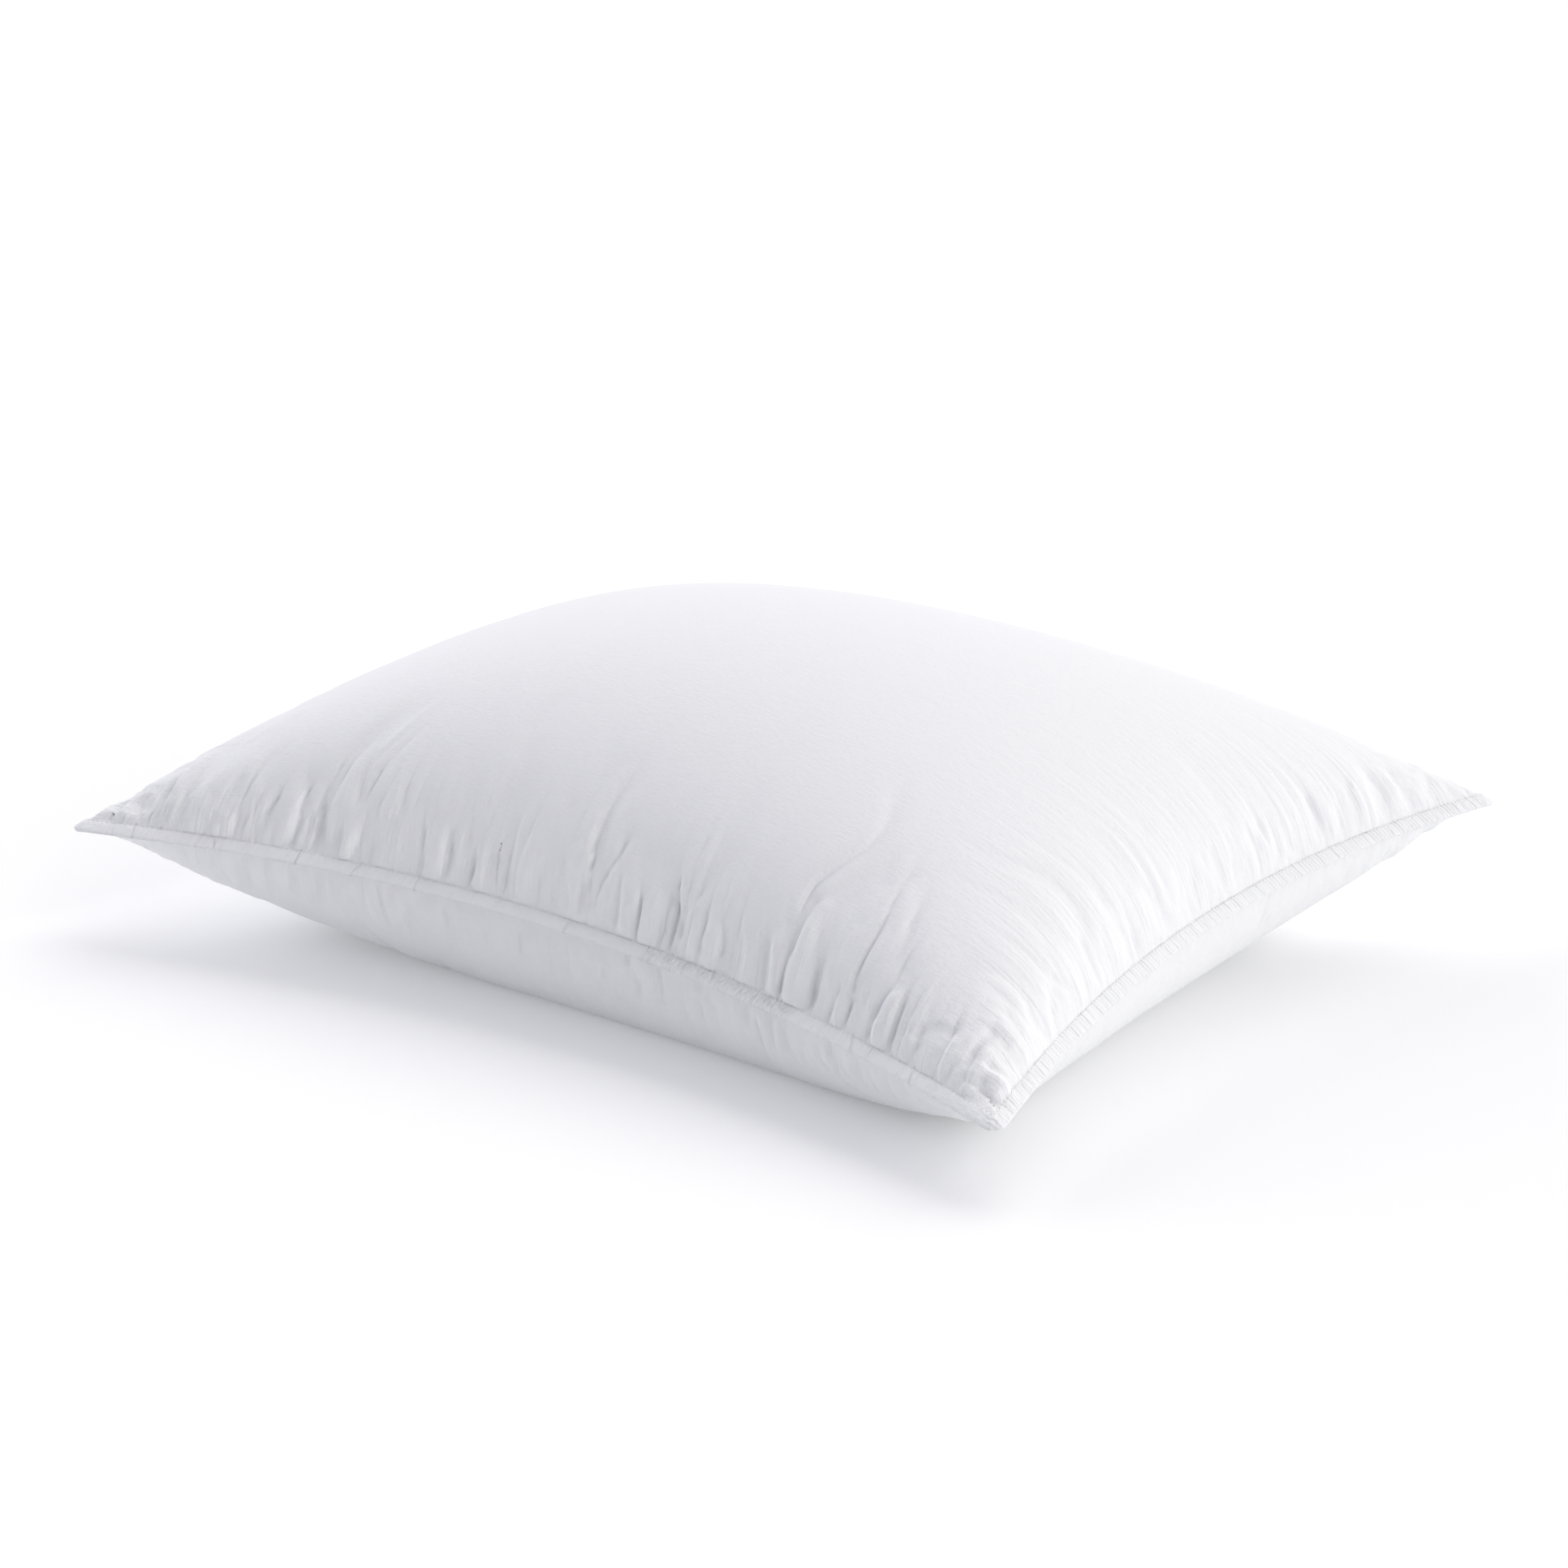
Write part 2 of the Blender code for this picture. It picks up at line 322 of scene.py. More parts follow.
def inflated(start, flat, faces, fin, rim):
    """The points after the cloth has been let go over the filling, above the floor."""
    mesh = bpy.data.meshes.new("cloth_model")
    mesh.from_pydata(start.tolist(), [], faces.tolist())
    cloth = bpy.data.objects.new("cloth_model", mesh)
    bpy.context.scene.collection.objects.link(cloth)
    cloth.shape_key_add(name="Basis")
    pattern = cloth.shape_key_add(name="flat_pattern")
    pattern.data.foreach_set("co", flat.astype(np.float32).ravel())
    pattern.value = 0.0

    ground_mesh = bpy.data.meshes.new("cloth_ground")
    corners = [(x, y, GROUND_Z) for x, y in ((-1, -1), (1, -1), (1, 1), (-1, 1))]
    ground_mesh.from_pydata(corners, [], [(0, 1, 2, 3)])
    ground = bpy.data.objects.new("cloth_ground", ground_mesh)
    bpy.context.scene.collection.objects.link(ground)
    ground.modifiers.new("collision", "COLLISION")
    ground.collision.thickness_outer = 0.001

    inward = np.minimum(HALF_X - np.abs(flat[:, 0]), HALF_Y - np.abs(flat[:, 1]))
    spare = np.exp(-((np.clip(inward, 0, None) / 0.08) ** 2)) * np.clip(inward / 0.008, 0, 1)
    to_corner = np.hypot(HALF_X - np.abs(flat[:, 0]), HALF_Y - np.abs(flat[:, 1]))
    shrink = -SPARE_CLOTH * spare * np.clip(to_corner / 0.16, 0, 1)
    nearer_short = HALF_X - np.abs(flat[:, 0]) < HALF_Y - np.abs(flat[:, 1])
    shrink = np.where(nearer_short, 0.6 * shrink, shrink)
    shrink[fin | rim] = SEAM_TIGHTNESS
    modifier = cloth.modifiers.new("cloth", "CLOTH")
    settings = modifier.settings
    settings.quality = 5
    settings.bending_model = "ANGULAR"
    settings.tension_stiffness = settings.compression_stiffness = 15
    settings.shear_stiffness = 5
    settings.bending_stiffness, settings.bending_damping = 0.006, 0.1
    settings.bending_stiffness_max = 10
    settings.vertex_group_bending = weights(cloth, "flange_stiffness", fin | rim)
    settings.vertex_group_mass = weights(cloth, "held", np.where(fin | rim, 0.5, 0.1))
    settings.rest_shape_key = pattern
    settings.vertex_group_shrink = weights(
        cloth, "shrink", (shrink + SPARE_CLOTH) / (SEAM_TIGHTNESS + SPARE_CLOTH)
    )
    settings.shrink_min, settings.shrink_max = -SPARE_CLOTH, SEAM_TIGHTNESS
    settings.use_pressure = True
    settings.uniform_pressure_force = 7
    settings.vertex_group_pressure = weights(cloth, "filled", ~fin)
    settings.effector_weights.gravity = 0
    modifier.collision_settings.distance_min = 0.001
    modifier.point_cache.frame_start, modifier.point_cache.frame_end = 1, FRAMES + 1
    for frame in range(1, FRAMES + 1):
        bpy.context.scene.frame_set(frame)
    graph = bpy.context.evaluated_depsgraph_get()
    result = cloth.evaluated_get(graph).to_mesh()
    points = np.empty(len(flat) * 3, np.float32)
    result.vertices.foreach_get("co", points)
    bpy.context.scene.frame_set(1)
    for helper in (cloth, ground):
        data = helper.data
        bpy.data.objects.remove(helper, do_unlink=True)
        bpy.data.meshes.remove(data)
    return points.reshape(-1, 3).astype(float)


def simulated_panels():
    """Grids of the top and the underside after the simulation, and their flat pattern's lines."""
    random = np.random.RandomState(11)
    k = FIN_ROWS
    cells_x, cells_y = round(2 * HALF_X / CELL), round(2 * HALF_Y / CELL)
    lines_x, lines_y = flat_lines(HALF_X, cells_x), flat_lines(HALF_Y, cells_y)
    shape = (len(lines_x), len(lines_y))
    held, seeded, fin = start_grids(random, lines_x, lines_y)

    top = np.arange(shape[0] * shape[1]).reshape(shape)
    inner = np.zeros(shape, bool)
    inner[k + 1 : -k - 1, k + 1 : -k - 1] = True
    under = top.copy()
    under[inner] = top.size + np.arange(inner.sum())
    flat_grid = np.stack([*np.meshgrid(lines_x, lines_y, indexing="ij"), np.zeros(shape)], -1)
    flat = np.concatenate([flat_grid.reshape(-1, 3), flat_grid[inner]])
    start = np.concatenate([seeded[0].reshape(-1, 3), seeded[1][inner]])

    def quads(index):
        return np.stack([index[:-1, :-1], index[1:, :-1], index[1:, 1:], index[:-1, 1:]], -1)

    body = np.zeros((shape[0] - 1, shape[1] - 1), bool)
    body[k:-k, k:-k] = True
    faces = np.concatenate([quads(top)[body], quads(under)[body][:, ::-1], quads(top)[~body]])
    in_fin = np.concatenate([fin.ravel(), np.zeros(inner.sum(), bool)])
    on_rim = np.concatenate([(~fin & ~inner).ravel(), np.zeros(inner.sum(), bool)])
    points = inflated(start, flat, faces, in_fin, on_rim)

    # Towards the middle the filling keeps the cloth taut: what is left of the folds is eased out.
    x, y = flat_grid[..., 0], flat_grid[..., 1]
    inward = np.minimum(HALF_X - np.abs(x), HALF_Y - np.abs(y))
    taut = np.clip((inward - TAUT_FROM) / (TAUT_BEYOND - TAUT_FROM), 0, 1)
    grids = [
        even + smoothed(points[index] - even, taut, TAUT_ROUNDS)
        for even, index in zip(held, (top, under))
    ]
    return *grids, lines_x, lines_y


# ---------------------------------------------------------------- reading the simulated cloth


def spline_weights(t):
    """Catmull-Rom weights of the four neighbours, a share t of the way between the middle two."""
    return np.stack(
        [
            ((2 - t) * t - 1) * t / 2,
            (t * t * (3 * t - 5) + 2) / 2,
            t * ((4 - 3 * t) * t + 1) / 2,
            (t - 1) * t * t / 2,
        ],
        -1,
    )


def read_grid(grid, i, j):
    """Smoothly interpolated values of a grid at fractional indices."""
    low_i = np.clip(np.floor(i).astype(int), 0, grid.shape[0] - 2)
    low_j = np.clip(np.floor(j).astype(int), 0, grid.shape[1] - 2)
    along_i, along_j = spline_weights(i - low_i), spline_weights(j - low_j)
    total = 0
    for a in range(4):
        for b in range(4):
            near = grid[
                np.clip(low_i + a - 1, 0, grid.shape[0] - 1),
                np.clip(low_j + b - 1, 0, grid.shape[1] - 1),
            ]
            total = total + near * (along_i[..., a] * along_j[..., b])[..., None]
    return total


def creases_from_side(random, along, inward):
    """Depth of the sharp valleys that run in from one pair of seams, between rounded ridges."""
    drift = 0.007 * value_noise(random, along / 0.06, inward / 0.05)
    drift = drift * np.clip(inward / 0.04, 0, 1.5)
    place = along + drift + 0.006 * value_noise(random, along / 0.03, np.zeros_like(along))
    valley = 0
    for pitch, depth, length in CREASES:
        ridged = np.abs(value_noise(random, place / pitch, inward / length))
        valley = valley + depth * np.clip(1 - ridged / 0.65, 0, 1) ** 1.4
    strength = 1.0 + 0.4 * value_noise(random, place / 0.034, inward / 0.07)
    reach = CREASE_REACH * (1 + 0.38 * value_noise(random, place / 0.019, np.zeros_like(along)))
    fade = np.exp(-((inward / np.maximum(reach, 0.02)) ** 2.4))
    fade = fade * np.clip(inward / 0.012, 0, 1) ** 0.7
    return valley * np.clip(strength, 0.4, 1.5) * fade


def main_crease(x, inward, start, end, depth):
    """Depth of a single crease, with a lip of raised cloth along its right-hand side."""
    run_x, run_in = end[0] - start[0], end[1] - start[1]
    length = math.hypot(run_x, run_in)
    along = ((x - start[0]) * run_x + (inward - start[1]) * run_in) / length
    across = ((x - start[0]) * run_in - (inward - start[1]) * run_x) / length
    beyond = np.maximum(0, np.maximum(-along, along - length))
    valley = np.exp(-np.hypot(across, beyond) / CREASE_HALF_WIDTH)
    from_lip = np.hypot(across - 2.6 * CREASE_HALF_WIDTH, beyond)
    lip = np.exp(-((from_lip / (1.5 * CREASE_HALF_WIDTH)) ** 2))
    return depth * (valley - LIP_SHARE * lip) * np.clip(inward / 0.004, 0, 1)


def crease_depth(random, x, y):
    """Depth of the creases at places on the flat pattern of one panel."""
    share = long_side_share(x, y)
    total = np.zeros_like(x)
    for sign, long_share, short_share in ((-1, 1.0, 0.4), (1, 0.7, 0.3)):
        from_long = creases_from_side(random, x, HALF_Y - np.abs(y)) * long_share * share
        from_short = creases_from_side(random, y, HALF_X - np.abs(x)) * short_share * (1 - share)
        total = total + np.where(sign * y > 0, from_long, 0) + np.where(sign * x > 0, from_short, 0)
    return total


class Cloth:
    """One simulated panel, read by its flat pattern: a place is x, y on the pattern, in metres."""

    def __init__(self, grid, lines_x, lines_y, side, random, crease_share):
        k = FIN_ROWS
        self.whole, self.lines_x, self.lines_y = grid, lines_x, lines_y
        self.whole_normals = grid_normals(grid)
        i, j = np.meshgrid(
            np.arange(0, len(lines_x) - 2 * k - 0.9, 0.5),
            np.arange(0, len(lines_y) - 2 * k - 0.9, 0.5),
            indexing="ij",
        )
        panel = read_grid(grid[k:-k, k:-k], i, j)
        x = np.interp(i + k, np.arange(len(lines_x)), lines_x)
        y = np.interp(j + k, np.arange(len(lines_y)), lines_y)
        depth = crease_depth(random, x, y) * crease_share
        if side > 0:
            depth = depth + sum(main_crease(x, HALF_Y + y, *crease) for crease in MAIN_CREASES)
        depth = DEEPEST * np.tanh(depth / DEEPEST)
        sunk = panel - grid_normals(panel) * side * depth[..., None]
        self.panel, self.panel_normals = sunk, grid_normals(sunk)

    def on_panel(self, values, x, y):
        i = (x + HALF_X) / (2 * HALF_X) * (self.panel.shape[0] - 1)
        j = (y + HALF_Y) / (2 * HALF_Y) * (self.panel.shape[1] - 1)
        return read_grid(values, i, j)

    def on_whole(self, values, x, y):
        i = np.interp(x, self.lines_x, np.arange(len(self.lines_x)))
        j = np.interp(y, self.lines_y, np.arange(len(self.lines_y)))
        return read_grid(values, i, j)

    def point(self, x, y):
        """On the panel as simulated; beyond its edge, straight across the flange."""
        rim_x, rim_y = np.clip(x, -HALF_X, HALF_X), np.clip(y, -HALF_Y, HALF_Y)
        reach = np.hypot(x - rim_x, y - rim_y)
        scale = FLANGE / np.maximum(reach, 1e-9)
        rim = self.on_panel(self.panel, rim_x, rim_y)
        outer = self.on_whole(
            self.whole, rim_x + (x - rim_x) * scale, rim_y + (y - rim_y) * scale
        )
        return rim + (outer - rim) * (reach / FLANGE)[..., None]

    def normal(self, x, y):
        normals = self.on_panel(self.panel_normals, x, y)
        return normals / np.linalg.norm(normals, axis=-1, keepdims=True)

    def fin_normal(self, x, y):
        """Normal of the flange beside that place, without the panel's."""
        out = 0.5 * FLANGE
        edge_x = np.where(np.abs(x) > HALF_X, np.sign(x) * (HALF_X + out), x)
        edge_y = np.where(np.abs(y) > HALF_Y, np.sign(y) * (HALF_Y + out), y)
        normals = self.on_whole(self.whole_normals, edge_x, edge_y)
        return normals / np.linalg.norm(normals, axis=-1, keepdims=True)


def rounded(out_x, out_y):
    """The flange's corner: a square corner's place moved to a quarter circle's."""
    reach = np.maximum(np.abs(out_x), np.abs(out_y))
    length = np.hypot(out_x, out_y)
    scale = np.where(length > 0, reach / np.maximum(length, 1e-9), 1)
    return out_x * scale, out_y * scale


# ---------------------------------------------------------------- materials


def node(tree, kind, **values):
    made = tree.nodes.new("ShaderNode" + kind)
    for name, value in values.items():
        if hasattr(made, name):
            setattr(made, name, value)
        else:
            made.inputs[name.replace("_", " ")].default_value = value
    return made


def math_node(tree, operation, a, b=None, c=None):
    made = tree.nodes.new("ShaderNodeMath")
    made.operation = operation
    for place, value in enumerate((a, b, c)):
        if value is None:
            continue
        if isinstance(value, (int, float)):
            made.inputs[place].default_value = value
        else:
            tree.links.new(value, made.inputs[place])
    return made.outputs[0]


def noise_along(tree, x, y, scale_x, scale_y, detail=2.0, seed=0.0):
    """Noise on the flat pattern, with its own scale along each yarn direction; about -1 to 1."""
    joined = node(tree, "CombineXYZ")
    tree.links.new(math_node(tree, "MULTIPLY", x, scale_x), joined.inputs[0])
    tree.links.new(math_node(tree, "MULTIPLY", y, scale_y), joined.inputs[1])
    joined.inputs[2].default_value = seed
    texture = node(tree, "TexNoise", noise_dimensions="3D")
    texture.inputs["Scale"].default_value = 1.0
    texture.inputs["Detail"].default_value = detail
    texture.inputs["Roughness"].default_value = 0.55
    tree.links.new(joined.outputs[0], texture.inputs["Vector"])
    return math_node(tree, "MULTIPLY_ADD", texture.outputs["Fac"], 2.0, -1.0)


def principled(name, colour, roughness):
    material = bpy.data.materials.new(name)
    material.use_nodes = True
    shader = material.node_tree.nodes["Principled BSDF"]
    shader.inputs["Base Color"].default_value = (*colour, 1)
    shader.inputs["Roughness"].default_value = roughness
    shader.inputs["Specular IOR Level"].default_value = 0.3
    return material, material.node_tree, shader


def add_height(tree, shader, height):
    """Height in metres as bump."""
    bump = node(tree, "Bump")
    bump.inputs["Strength"].default_value = 1.0
    bump.inputs["Distance"].default_value = 1.0
    tree.links.new(height, bump.inputs["Height"])
    tree.links.new(bump.outputs[0], shader.inputs["Normal"])


def cotton_material():
    """Down-proof cotton: a close weave with slubs, a faint crinkle and puckers beside the seams."""
    material, tree, shader = principled("white_cotton", (0.845, 0.848, 0.858), 0.88)
    shader.inputs["Sheen Weight"].default_value = 0.12
    shader.inputs["Sheen Roughness"].default_value = 0.5
    place = node(tree, "Attribute", attribute_name="pattern")
    split = node(tree, "SeparateXYZ")
    tree.links.new(place.outputs["Vector"], split.inputs[0])
    x, y, out = split.outputs

    warp = noise_along(tree, x, y, 750.0, 200.0, 2.0, 1.7)
    weft = noise_along(tree, x, y, 200.0, 750.0, 2.0, 8.3)
    slubs = math_node(tree, "ADD", warp, weft)
    crinkle = noise_along(tree, x, y, 260.0, 260.0, 3.0, 3.1)
    rumple = noise_along(tree, x, y, 70.0, 70.0, 2.0, 5.9)

    # Fine puckers run in from each seam, and fade with distance from it.
    in_x = math_node(tree, "SUBTRACT", HALF_X, math_node(tree, "ABSOLUTE", x))
    in_y = math_node(tree, "SUBTRACT", HALF_Y, math_node(tree, "ABSOLUTE", y))
    near_long = math_node(tree, "POWER", 2.718, math_node(tree, "MULTIPLY", in_y, -17.0))
    near_short = math_node(tree, "POWER", 2.718, math_node(tree, "MULTIPLY", in_x, -17.0))
    near_long = math_node(tree, "MINIMUM", near_long, 1.0)
    near_short = math_node(tree, "MINIMUM", near_short, 1.0)
    share = math_node(tree, "MULTIPLY_ADD", math_node(tree, "SUBTRACT", in_x, in_y), 25.0, 0.5)
    share = math_node(tree, "MAXIMUM", math_node(tree, "MINIMUM", share, 1.0), 0.0)
    rest = math_node(tree, "SUBTRACT", 1.0, share)
    folds_long = noise_along(tree, x, y, 230.0, 18.0, 2.0, 12.0)
    folds_short = noise_along(tree, x, y, 18.0, 230.0, 2.0, 14.0)
    folds = math_node(
        tree,
        "ADD",
        math_node(tree, "MULTIPLY", folds_long, math_node(tree, "MULTIPLY", near_long, share)),
        math_node(tree, "MULTIPLY", folds_short, math_node(tree, "MULTIPLY", near_short, rest)),
    )
    height = math_node(tree, "MULTIPLY", slubs, 0.00011)
    height = math_node(tree, "MULTIPLY_ADD", crinkle, 0.00006, height)
    height = math_node(tree, "MULTIPLY_ADD", rumple, 0.00008, height)
    height = math_node(tree, "MULTIPLY_ADD", folds, 0.0008, height)
    near_corner = math_node(tree, "MULTIPLY", near_long, near_short)
    corner_crinkle = math_node(tree, "MULTIPLY", crinkle, near_corner)
    height = math_node(tree, "MULTIPLY_ADD", corner_crinkle, 0.00045, height)

    # On the flange, the topstitching draws the cloth into short ridges across it.
    on_flange = math_node(tree, "MULTIPLY", math_node(tree, "ADD", out, 0.0015), 900.0)
    on_flange = math_node(tree, "MAXIMUM", math_node(tree, "MINIMUM", on_flange, 1.0), 0.0)
    ridges_long = noise_along(tree, x, y, 330.0, 30.0, 1.0, 21.0)
    ridges_short = noise_along(tree, x, y, 30.0, 330.0, 1.0, 23.0)
    is_long = math_node(tree, "LESS_THAN", in_y, in_x)
    ridges = math_node(
        tree,
        "ADD",
        math_node(tree, "MULTIPLY", ridges_long, is_long),
        math_node(tree, "MULTIPLY", ridges_short, math_node(tree, "SUBTRACT", 1.0, is_long)),
    )
    ridges = math_node(tree, "MULTIPLY", ridges, on_flange)
    height = math_node(tree, "MULTIPLY_ADD", ridges, 0.00026, height)

    # Every so often a sharper tuck crosses the flange.
    is_short = math_node(tree, "SUBTRACT", 1.0, is_long)
    side_x = math_node(tree, "MULTIPLY", x, is_long)
    along_side = math_node(tree, "MULTIPLY_ADD", is_short, y, side_x)
    uneven = noise_along(tree, x, y, 9.0, 9.0, 1.0, 41.0)
    turns = math_node(tree, "MULTIPLY_ADD", along_side, 2 * math.pi / TUCK_PITCH, 0.0)
    turns = math_node(tree, "MULTIPLY_ADD", uneven, 4.5, turns)
    crests = math_node(tree, "MAXIMUM", math_node(tree, "SINE", turns), 0.0)
    tucks = math_node(tree, "POWER", crests, 180.0)
    far_from_corner = math_node(tree, "GREATER_THAN", math_node(tree, "MAXIMUM", in_x, in_y), 0.03)
    allowed = math_node(tree, "MULTIPLY", on_flange, far_from_corner)
    tucks = math_node(tree, "MULTIPLY", tucks, allowed)
    tucks = math_node(tree, "MULTIPLY", tucks, math_node(tree, "MULTIPLY_ADD", is_long, 0.7, 0.3))
    height = math_node(tree, "MULTIPLY_ADD", tucks, -0.0006, height)

    # Close, short puckers where the filling went in, and along the right-hand side.
    after_start = math_node(tree, "GREATER_THAN", x, CLOSING_START_X)
    before_end = math_node(tree, "LESS_THAN", x, CLOSING_END_X)
    in_front = math_node(tree, "LESS_THAN", y, -HALF_Y + 0.002)
    closing = math_node(tree, "MULTIPLY", after_start, before_end)
    closing = math_node(tree, "MULTIPLY", closing, in_front)
    on_right = math_node(tree, "GREATER_THAN", x, HALF_X - 0.001)
    for mask, along, depth in ((closing, x, 0.00024), (on_right, y, 0.0001)):
        wobble = noise_along(tree, x, y, 300.0, 300.0, 1.0, 31.0)
        phase = math_node(tree, "MULTIPLY_ADD", along, 2 * math.pi / PUCKER_PITCH, 0.0)
        phase = math_node(tree, "MULTIPLY_ADD", wobble, 2.2, phase)
        puckers = math_node(tree, "MULTIPLY", math_node(tree, "SINE", phase), mask)
        puckers = math_node(tree, "MULTIPLY", puckers, on_flange)
        height = math_node(tree, "MULTIPLY_ADD", puckers, depth, height)
    add_height(tree, shader, height)

    tone = math_node(tree, "MULTIPLY_ADD", slubs, 0.012, 0.5)
    tone = math_node(tree, "MULTIPLY_ADD", rumple, 0.03, tone)
    ramp = node(tree, "ValToRGB")
    ramp.color_ramp.elements[0].position, ramp.color_ramp.elements[1].position = 0.4, 0.6
    ramp.color_ramp.elements[0].color = (0.845, 0.849, 0.86, 1)
    ramp.color_ramp.elements[1].color = (0.876, 0.878, 0.886, 1)
    tree.links.new(tone, ramp.inputs[0])
    tree.links.new(ramp.outputs[0], shader.inputs["Base Color"])
    rough = math_node(tree, "MULTIPLY_ADD", slubs, 0.03, 0.88)
    tree.links.new(rough, shader.inputs["Roughness"])
    return material


def patterned(name, low, high, roughness, scale, depth, stretch=(1, 1, 1)):
    """A material whose colour and height vary with noise in the piece's own coordinates."""
    material, tree, shader = principled(name, high, roughness)
    place = node(tree, "TexCoord")
    mapping = node(tree, "Mapping")
    mapping.inputs["Scale"].default_value = stretch
    tree.links.new(place.outputs["Object"], mapping.inputs["Vector"])
    texture = node(tree, "TexNoise")
    texture.inputs["Scale"].default_value = scale
    texture.inputs["Detail"].default_value = 3.0
    tree.links.new(mapping.outputs[0], texture.inputs["Vector"])
    ramp = node(tree, "ValToRGB")
    ramp.color_ramp.elements[0].position, ramp.color_ramp.elements[1].position = 0.35, 0.65
    ramp.color_ramp.elements[0].color = (*low, 1)
    ramp.color_ramp.elements[1].color = (*high, 1)
    tree.links.new(texture.outputs["Fac"], ramp.inputs[0])
    tree.links.new(ramp.outputs[0], shader.inputs["Base Color"])
    add_height(tree, shader, math_node(tree, "MULTIPLY", texture.outputs["Fac"], depth))
    return material, shader


def thread_material():
    """Spun sewing thread, a little brighter than the cotton."""
    material, shader = patterned(
        "white_thread", (0.84, 0.84, 0.85), (0.90, 0.90, 0.905), 0.7, 4000, 0.00006
    )
    shader.inputs["Sheen Weight"].default_value = 0.1
    return material


def ribbon_material():
    """Blank satin label ribbon, with a fine rib along its length."""
    material, shader = patterned(
        "white_ribbon", (0.85, 0.85, 0.86), (0.89, 0.89, 0.895), 0.45, 600, 0.00003, (6, 0.4, 0.4)
    )
    shader.inputs["Sheen Weight"].default_value = 0.2
    return material


def down_material():
    """Down clusters: soft off-white lumps."""
    material, shader = patterned(
        "white_down", (0.74, 0.73, 0.70), (0.84, 0.83, 0.80), 0.95, 90, 0.002
    )
    shader.inputs["Sheen Weight"].default_value = 0.4
    return material


# ---------------------------------------------------------------- pieces


def add_piece(name, points, faces, material):
    mesh = bpy.data.meshes.new(name)
    mesh.from_pydata(np.asarray(points).tolist(), [], np.asarray(faces).tolist())
    mesh.validate()
    mesh.shade_smooth()
    mesh.materials.append(material)
    piece = bpy.data.objects.new(name, mesh)
    bpy.context.scene.collection.objects.link(piece)
    return piece


def soft_creases(arc, random, length, pitch, width):
    """Depth from 0 to 1 of creases across the flange, scattered along a side of that length."""
    depth = np.zeros_like(arc)
    place = pitch * random.uniform(0.3, 1.0)
    while place < length:
        size = random.uniform(0.35, 1.0)
        depth = np.maximum(depth, size * np.exp(-(((arc - place) / width) ** 2)))
        place += pitch * random.uniform(0.45, 1.6)
    return depth


def flange_relief(x, y, random):
    """Factor on the flange ply's height: puckers all along, and deeper creases here and there."""
    on_long = np.abs(y) > HALF_Y
    along = np.where(on_long, x + HALF_X, y + HALF_Y)
    relief = np.ones_like(x)
    for chosen in (on_long & (y < 0), on_long & (y > 0), ~on_long & (x < 0), ~on_long & (x > 0)):
        knots = random.normal(0, 1, 400)
        ripple = np.interp(along / 0.0052, np.arange(400), knots)
        swell = np.interp(along / 0.021, np.arange(400), random.normal(0, 1, 400))
        creases = soft_creases(along, random, LONG, 0.058, 0.0024)
        value = 1 + 0.13 * ripple + 0.12 * swell - 0.75 * creases
        relief = np.where(chosen, value, relief)
    return np.clip(relief, 0.15, 1.6)


def make_cover(name, cloth, side, seed, material):
    """One panel's cover: the panel, its ply of the flange, and the allowance turned in."""
    random = np.random.RandomState(seed)
    cells_x, cells_y = round(2 * HALF_X / MESH_STEP), round(2 * HALF_Y / MESH_STEP)
    rows = len(PLY_ROWS)
    share = np.array([row[0] for row in PLY_ROWS])
    lift = np.array([row[1] for row in PLY_ROWS])

    def lines(half, cells):
        inside = np.linspace(-half, half, cells + 1)
        steps = np.arange(1, rows + 1)
        places = np.concatenate([np.full(rows, -half), inside, np.full(rows, half)])
        return places, np.concatenate([-steps[::-1], np.zeros(cells + 1, int), steps])

    place_x, row_x = lines(HALF_X, cells_x)
    place_y, row_y = lines(HALF_Y, cells_y)
    base_x, base_y = np.meshgrid(place_x, place_y, indexing="ij")
    step_x, step_y = np.meshgrid(row_x, row_y, indexing="ij")
    row = np.maximum(np.abs(step_x), np.abs(step_y))
    on_flange = row > 0
    reach = np.where(on_flange, share[row - 1], 0.0) * FLANGE
    out_x = reach * step_x / np.maximum(row, 1)
    out_y = reach * step_y / np.maximum(row, 1)
    out_x, out_y = rounded(out_x, out_y)
    x, y = base_x + out_x, base_y + out_y

    inward = np.minimum(HALF_X - np.abs(x), HALF_Y - np.abs(y))
    swelling = GROOVE * (1 - np.exp(-((np.clip(inward, 0, None) / 0.0025) ** 2)))
    height = np.where(on_flange, lift[row - 1], PLY_OFFSET + swelling)
    outer = on_flange & (row <= 7)
    relief = flange_relief(np.where(step_x != 0, x, base_x), y, random)
    height = np.where(outer, PLY_OFFSET + (height - PLY_OFFSET) * relief, height)
    points = cloth.point(x, y)
    normals = np.where(on_flange[..., None], cloth.fin_normal(x, y), cloth.normal(x, y))
    if side < 0:
        # Both grids share the flange, whose normals point up in each.
        normals = -normals
    points = points + normals * height[..., None]
    points[..., 2] = np.maximum(points[..., 2], 0.0004)

    index = np.arange(x.size).reshape(x.shape)
    faces = np.stack([index[:-1, :-1], index[1:, :-1], index[1:, 1:], index[:-1, 1:]], -1)
    faces = faces.reshape(-1, 4)
    if side < 0:
        faces = faces[:, ::-1]
    cover = add_piece(name, points.reshape(-1, 3), faces, material)
    out = np.maximum(np.abs(x) - HALF_X, np.abs(y) - HALF_Y)
    pattern = cover.data.attributes.new("pattern", "FLOAT_VECTOR", "POINT")
    values = np.stack([x, y, out], -1).astype(np.float32)
    pattern.data.foreach_set("vector", values.ravel())
    return cover


